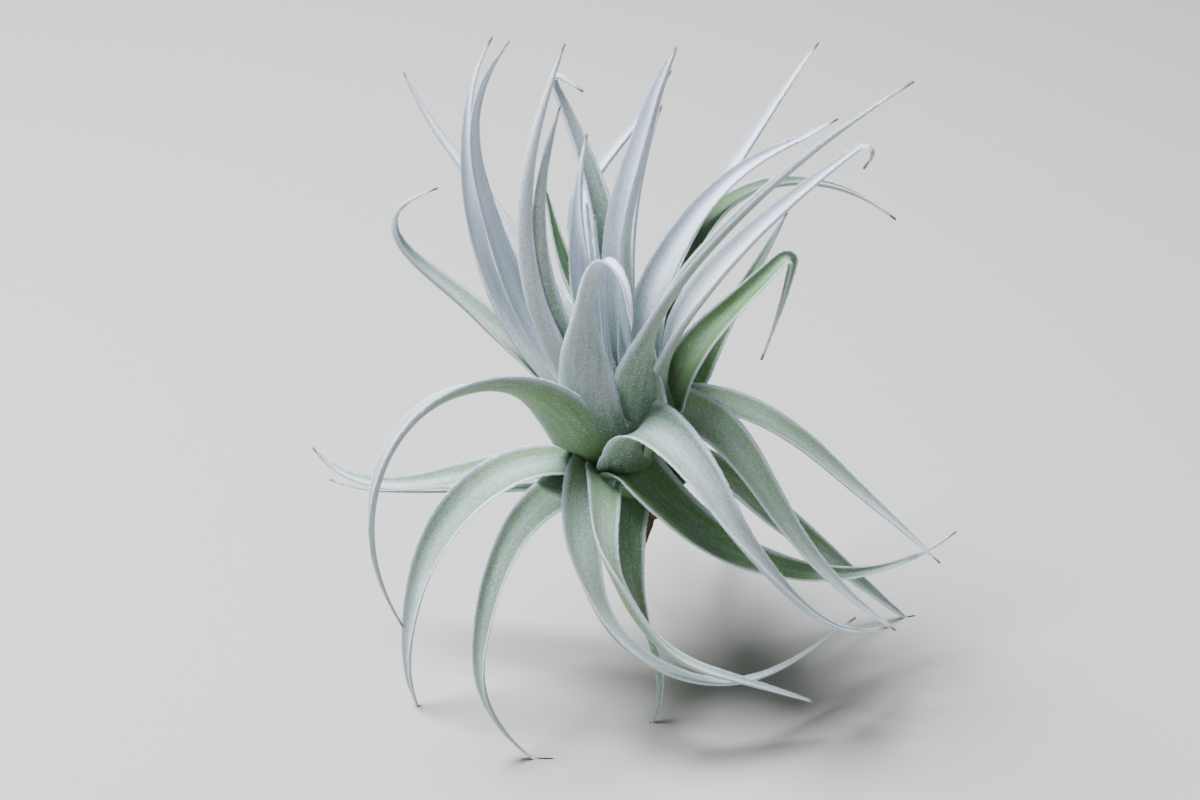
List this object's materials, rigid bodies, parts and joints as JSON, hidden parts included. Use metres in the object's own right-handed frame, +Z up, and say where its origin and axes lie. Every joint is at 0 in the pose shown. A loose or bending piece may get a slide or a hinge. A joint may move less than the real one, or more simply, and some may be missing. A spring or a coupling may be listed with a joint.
{
  "type": "air plant",
  "caption": "Rosette air plant with narrow channelled silvery leaves that arch up, out and down from a short stem, standing on its drooping leaf tips.",
  "frame": {"origin": "on the surface, under the middle of the plant's bounding box", "axes": "+Z up, with the plant standing on its drooping leaf tips; +X to the right and +Y to the back of the side that the picture shows"},
  "size_m": [0.1484, 0.108, 0.1661],
  "materials": {
    "stem": "rough brown-green stem",
    "outer_leaf": "green leaf under a thin felt of silvery scales",
    "inner_leaf": "grey-green leaf under a dense felt of silvery scales",
    "dry_leaf": "dry papery brown"
  },
  "bodies": {
    "root": {"stem": "stem", "leaf_01": "outer_leaf", "leaf_02": "outer_leaf", "leaf_03": "outer_leaf", "leaf_04": "outer_leaf", "leaf_05": "outer_leaf", "leaf_06": "outer_leaf", "leaf_07": "outer_leaf", "leaf_08": "outer_leaf", "leaf_09": "outer_leaf", "leaf_10": "outer_leaf", "leaf_11": "outer_leaf", "leaf_12": "outer_leaf", "leaf_13": "outer_leaf", "leaf_14": "outer_leaf", "leaf_15": "outer_leaf", "leaf_16": "outer_leaf", "leaf_17": "outer_leaf", "leaf_18": "outer_leaf", "leaf_19": "inner_leaf", "leaf_20": "inner_leaf", "leaf_21": "inner_leaf", "leaf_22": "inner_leaf", "leaf_23": "inner_leaf", "leaf_24": "inner_leaf", "leaf_25": "inner_leaf", "leaf_26": "inner_leaf", "leaf_27": "inner_leaf", "leaf_28": "inner_leaf", "leaf_29": "inner_leaf", "leaf_30": "inner_leaf", "leaf_31": "inner_leaf", "leaf_32": "inner_leaf", "leaf_33": "inner_leaf", "leaf_34": "inner_leaf", "leaf_35": "inner_leaf", "leaf_36": "inner_leaf", "leaf_37": "inner_leaf", "leaf_38": "inner_leaf", "leaf_39": "inner_leaf", "leaf_40": "inner_leaf", "dry_sheath_01": "dry_leaf", "dry_sheath_02": "dry_leaf", "dry_sheath_03": "dry_leaf", "dry_sheath_04": "dry_leaf"}
  },
  "joints": []
}
